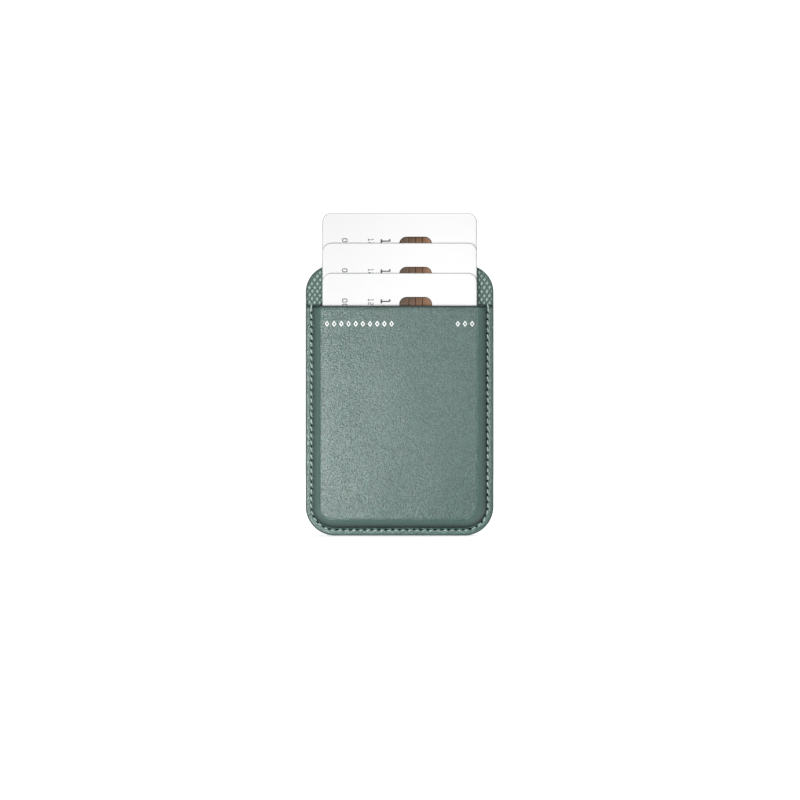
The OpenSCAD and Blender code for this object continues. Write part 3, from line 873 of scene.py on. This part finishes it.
def wrap_path(sign):
    """The last stitch at each end, over the mouth's edge and into the lining just above it. sign is -1 on
    the left and 1 on the right."""
    x = sign * (HALF_W - SEAM_INSET)
    # Heights above the mouth and distances in front of the flange, one after the other along the thread.
    turn = np.array([(0.25 - STITCH, -0.6), (0.45 - STITCH, 0.1), (0.8 - STITCH, 0.2), (-0.9, 0.22),
                     (-0.3, 0.24), (0.05, 0.12), (0.22, -0.25), (0.3, -0.65), (0.45, -0.92), (0.62, -1.2),
                     (0.72, -1.5)])
    fine = np.linspace(0, len(turn) - 1, 22)
    up, out = (np.interp(fine, range(len(turn)), column) for column in turn.T)
    lean = np.linspace(0.25, -0.1, len(fine))
    return np.stack([x + sign * lean, FLANGE_DEPTH + out, MOUTH + up], 1)


def make_threads():
    """Short stitches on both faces, and one over the mouth at each end of the seam."""
    turns, wrap_turns = 1.6, 2.4
    front, back = Shape(), Shape()
    for index in range(STITCHES):
        if 0 < index < STITCHES - 1:
            add_thread(front, stitch_path(index, 1, FLANGE_DEPTH - 0.08), turns)
        add_thread(back, stitch_path(index, -0.75, 0.47), turns)
    for sign in (-1, 1):
        add_thread(front, wrap_path(sign), wrap_turns)
    new_piece("needle_thread_plies", front, [THREAD], "holder", "needle_thread")
    new_piece("bobbin_thread_plies", back, [THREAD], "holder", "bobbin_thread")


# ---- Foil marks ----

def make_foil(node):
    """A row of open diamonds stamped on the leather, where the CAD marks are."""
    low, high = cad_box(node)
    height = high[2] - low[2]
    middle = (high[2] + low[2]) / 2
    width, stroke, pitch = 1.6, 0.4, 2.5
    first, last = low[0] + width / 2, high[0] - width / 2
    shape = Shape()
    tips = np.array([(-1, 0), (0, -1), (1, 0), (0, 1)], float)
    top, side, sunk, bevel = 0.03, 0.018, -0.06, 0.04
    profile = ((0, sunk), (0, side), (bevel, top), (stroke - bevel, top), (stroke, side), (stroke, sunk))
    for x in np.linspace(first, last, round((last - first) / pitch) + 1):
        rings = []
        for shrink, lift in profile:
            px = x + tips[:, 0] * (width / 2 - shrink)
            pz = middle + tips[:, 1] * (height / 2 - shrink * height / width)
            rings.append(shape.add(px, flat_surface(px, pz) + lift, pz))
        shape.grid(np.array(rings + rings[:1]), wrap=True)
    new_piece(node + "_pressed", shape, [FOIL], "holder", node, 20)


# ---- Cards ----

CARD_R = 3.18
CHIP_R = 2.6
PRINT_DROP = 8.85        # how far below the card's top its print starts


def rounded_loop(low, high, r, inset, steps):
    """A box's front as a rounded rectangle, anticlockwise from the lower right corner."""
    r_in = max(r - inset, 0.02)
    left, right, bottom, top = low[0] + r, high[0] - r, low[2] + r, high[2] - r
    points = []
    for i, (x, z) in enumerate(((right, bottom), (right, top), (left, top), (left, bottom))):
        for a in np.linspace(0, math.pi / 2, steps + 1) + (i - 1) * math.pi / 2:
            points.append((x + r_in * math.cos(a), z + r_in * math.sin(a)))
    return np.array(points)


def add_plate(shape, low, high, r, profile, steps, kind=0, cap_kind=None):
    """A plate with a box's rounded outline, whose edge has a profile of (inset, depth) steps."""
    outlines = [(rounded_loop(low, high, r, inset, steps).T, depth) for inset, depth in profile]
    shape.tube([(x, depth, z) for (x, z), depth in outlines], kind, cap_kind)


def make_card(name):
    """A white laminated card with its chip and print in front and its stripe and signature panel behind."""
    body, node = "card_" + name, name + "_card"
    low, high = cad_box(node)
    back, front = -high[1], -low[1]
    shape = Shape()
    profile = [(0.16, back), (0.05, back + 0.04), (0.0, back + 0.14), (0.0, front - 0.22),
               (0.06, front - 0.07), (0.2, front)]
    add_plate(shape, low, high, CARD_R, profile, 12, kind=1, cap_kind=0)
    new_piece(node + "_laminate", shape, [CARD_FACE, CARD_EDGE], body, node, 50)
    make_chip(name, body, front)
    # Each film: name, material, slot and how far short it stops at each end.
    films = (("_stripe", STRIPE, "magnetic_stripe", (0, 0, 0.06)),
             ("_signature", SIGNATURE, "signature_panel", (0, 0, 0)))
    for part, material, slot, short in films:
        film_low, film_high = cad_box(node + part)
        shape = Shape()
        profile = [(0, back + 0.04), (0, back - 0.004), (0.03, back - 0.009)]
        add_plate(shape, film_low + short, film_high - short, 0.3, profile, 3)
        new_piece(node + part + "_film", shape, [material], body, node + part, 30)
    make_print(name, body, front, high[2])


def add_pad(shape, points, front):
    """A chip contact with bevelled edges, on the card's face."""
    points = np.array(points)
    away = points - points.mean(0)
    rise = 0.022
    loops = []
    for shrink, depth in ((0.0, front - 0.02), (0.0, front + rise - 0.006), (0.05, front + rise)):
        place = points.mean(0) + away * (1 - shrink / np.maximum(np.abs(away).max(0), 0.2))
        loops.append((place[:, 0], depth, place[:, 1]))
    shape.tube(loops, 1)


def make_chip(name, body, front):
    """The chip's plate, with contacts parted by narrow channels."""
    node = name + "_card_chip"
    low, high = cad_box(node)
    shape = Shape()
    profile = [(0.4, front - 0.2), (0, front - 0.18), (0, front + 0.004), (0.03, front + 0.01)]
    add_plate(shape, low, high, CHIP_R, profile, 8)
    border, channel, half_pad = 0.24, 0.28, 1.7
    left, right, bottom, top = low[0] + border, high[0] - border, low[2] + border, high[2] - border
    middle = (bottom + top) / 2
    corner = CHIP_R - border

    def reach(x):
        """Half the height of the chip's rounded outline at x."""
        over = max(corner - (x - left), corner - (right - x), 0.0)
        return (top - bottom) / 2 - corner + math.sqrt(max(corner ** 2 - over ** 2, 0.0))

    columns = [left + (right - left) * share for share in (0.0, 0.285, 0.495, 0.712, 1.0)]
    for a, b in zip(columns, columns[1:]):
        a += channel / 2 if a > left else 0
        b -= channel / 2 if b < right else 0
        for side in (1, -1):
            curve = [(x, middle + side * reach(x)) for x in np.linspace(a, b, 9)]
            base = middle + side * (half_pad + channel)
            add_pad(shape, [(a, base), *curve, (b, base)], front)
    low_pad, high_pad = middle - half_pad, middle + half_pad
    add_pad(shape, [(left, low_pad), (right, low_pad), (right, high_pad), (left, high_pad)], front)
    new_piece(node + "_contacts", shape, [CHIP_BASE, CONTACT], body, node, 30)


# Digits are drawn from key to key of a number pad, on a grid 4 wide and 6 high. The dot is beside key 4.
PAD = {"7": (0, 6), "8": (2, 6), "9": (4, 6), "4": (0, 3), ".": (1, 3), "5": (2, 3), "6": (4, 3),
       "1": (0, 0), "2": (2, 0), "3": (4, 0)}
STROKES = {"0": "413974", "1": "13 782", "2": "796413", "3": "7931 .6", "4": "746 93", "5": "974631",
           "6": "971364", "7": "79652", "8": "413974 46", "9": "647931"}


def rounded_path(path, r):
    """A path with its corners rounded by short curves."""
    path = np.array(path, float)
    points = [path[0]]
    for before, corner, after in zip(path, path[1:], path[2:]):
        back, ahead = unit(np.array([before, after]) - corner) * r
        points += [corner + back * (1 - t) ** 2 + ahead * t ** 2 for t in (0, 0.25, 0.5, 0.75, 1)]
    return np.array(points + [path[-1]])


def add_stroke(shape, path, half, place):
    """A flat raised stroke of even width along a path. place turns its points into (x, depth, z)."""
    ahead = unit(np.gradient(path, axis=0))
    side = np.stack([-ahead[:, 1], ahead[:, 0]], 1) * half
    profile = ((0.98, 0), (1, 0.4), (0.92, 1), (-0.92, 1), (-1, 0.4), (-0.98, 0))
    rows = np.array([shape.add(*place(path + side * share, rise)) for share, rise in profile])
    shape.grid(np.vstack([rows, rows[:1]]))
    shape.face(list(rows[:, 0]))
    shape.face(list(rows[:, -1]))


def make_print(name, body, front, top):
    """Rows of plain digits that read down the card, with the tops of the digits to the right."""
    # Each row: name, digits, x of its foot, height, stroke, width and pitch as shares, and material.
    rows = (("number", "1234 5678 9012 3456", -6.65, 3.5, 0.6, 0.75, 0.66, PRINT_DARK),
            ("date", "12 34", -11.05, 1.95, 0.32, 0.72, 0.66, PRINT_PALE),
            ("line", "00 0000 000 0000", -20.1, 1.95, 0.34, 1.0, 0.92, PRINT_PALE))
    for label, digits, base_x, height, stroke, width, pitch, material in rows:
        shape = Shape()
        step = (height - stroke) / 6
        for index, digit in enumerate(digits):
            corner = 0.3 if digit in "147" else 1.7
            start = top - PRINT_DROP - stroke / 2 - index * height * pitch

            def place(points, rise, start=start):
                x = base_x + stroke / 2 + points[:, 1] * step
                return x, front - 0.004 + 0.012 * rise, start - points[:, 0] * step * width

            for keys in STROKES.get(digit, "").split():
                path = rounded_path([PAD[key] for key in keys], corner)
                add_stroke(shape, path, stroke / 2 / step, place)
        new_piece(f"{name}_card_{label}", shape, [material], body)


# ---- Studio, in metres ----

FLOOR_Z = BOTTOM * MM
AIM = Vector((0.14, 0.0, -15.17)) * MM
DISTANCE = 2.0              # from the camera to the back face
FRAME_W = 279.85 * MM       # width of the picture at the back face
SENSOR = 36.0
AMBIENT = 0.25              # how strongly the white surroundings light the scene


def add_plane(name, size, location, rotation, material):
    bpy.ops.mesh.primitive_plane_add(size=size, location=location, rotation=rotation)
    plane = bpy.context.object
    plane.name = name
    plane.data.materials.append(material)
    plane.visible_diffuse = False


def add_area_light(name, location, size, power):
    light = bpy.data.lights.new(name, "AREA")
    light.shape = "RECTANGLE"
    light.size, light.size_y = size
    light.energy = power
    lamp = bpy.data.objects.new(name, light)
    lamp.location = location
    lamp.rotation_euler = (AIM - Vector(location)).to_track_quat("-Z", "Y").to_euler()
    lamp.visible_camera = False
    scene.collection.objects.link(lamp)


def make_surroundings():
    """A pale floor, a glowing backdrop and a world that looks white and lights the scene a little."""
    pale = Material("studio_pale", Roughness=0.9, IOR=1.3, Emission_Color=(1, 1, 1, 1),
                    Emission_Strength=0.35)
    clouds = pale.vary(pale.noise(60.0), 0.995, 1.0)
    pale.set("Base Color", pale.shade((0.93, 0.93, 0.93), clouds))
    glow = Material("backdrop_glow", Base_Color=(0, 0, 0, 1), Emission_Color=(1, 1, 1, 1),
                    Emission_Strength=1.15)
    add_plane("floor", 8.0, (0, 0, FLOOR_Z), (0, 0, 0), pale.material)
    add_plane("backdrop", 2.6, (0, 1.6, 1.3 + FLOOR_Z), (math.pi / 2, 0, 0), glow.material)
    world = bpy.data.worlds.new("studio")
    world.use_nodes = True
    tree = world.node_tree
    seen = add_node(tree, "ShaderNodeLightPath").outputs["Is Camera Ray"]
    strength = add_node(tree, "ShaderNodeMapRange", {"Value": seen, "To Min": AMBIENT, "To Max": 1.0})
    tree.links.new(strength.outputs["Result"], tree.nodes["Background"].inputs["Strength"])
    tree.nodes["Background"].inputs["Color"].default_value = (1, 1, 1, 1)
    scene.world = world


def make_camera():
    camera = bpy.data.cameras.new("camera")
    camera.sensor_width = SENSOR
    camera.lens = SENSOR * DISTANCE / FRAME_W
    camera.clip_start, camera.clip_end = 0.1, 20.0
    view = bpy.data.objects.new("camera", camera)
    view.location = AIM + Vector((0, -DISTANCE, 0))
    view.rotation_euler = (math.pi / 2, 0, 0)
    scene.collection.objects.link(view)
    scene.camera = view


def make_studio():
    scene.view_settings.view_transform = "Standard"
    scene.view_settings.look = "None"
    make_surroundings()
    add_area_light("overhead", (0.0, 0.0, 1.4), (3.0, 4.0), 24)
    add_area_light("softbox", (-1.0, -2.5, 0.75), (2.0, 1.6), 9)
    add_area_light("key", (-0.092, -0.26, -0.051), (0.06, 0.02), 0.47)
    add_area_light("fill", (0.16, -0.62, 0.16), (0.05, 0.04), 0.97)
    add_area_light("rear", (0.7, 1.3, 0.8), (1.0, 0.8), 14)
    make_camera()


make_studio()
make_front_leather()
make_back_leather()
make_back_lining()
make_front_lining()
make_rim_paint()
make_mouth_paint()
make_threads()
for mark in ("foil_mark_left", "foil_mark_right"):
    make_foil(mark)
for card in CARDS:
    make_card(card)
for node, material in INNER_MATERIALS.items():
    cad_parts[node].data.materials.clear()
    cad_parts[node].data.materials.append(material)
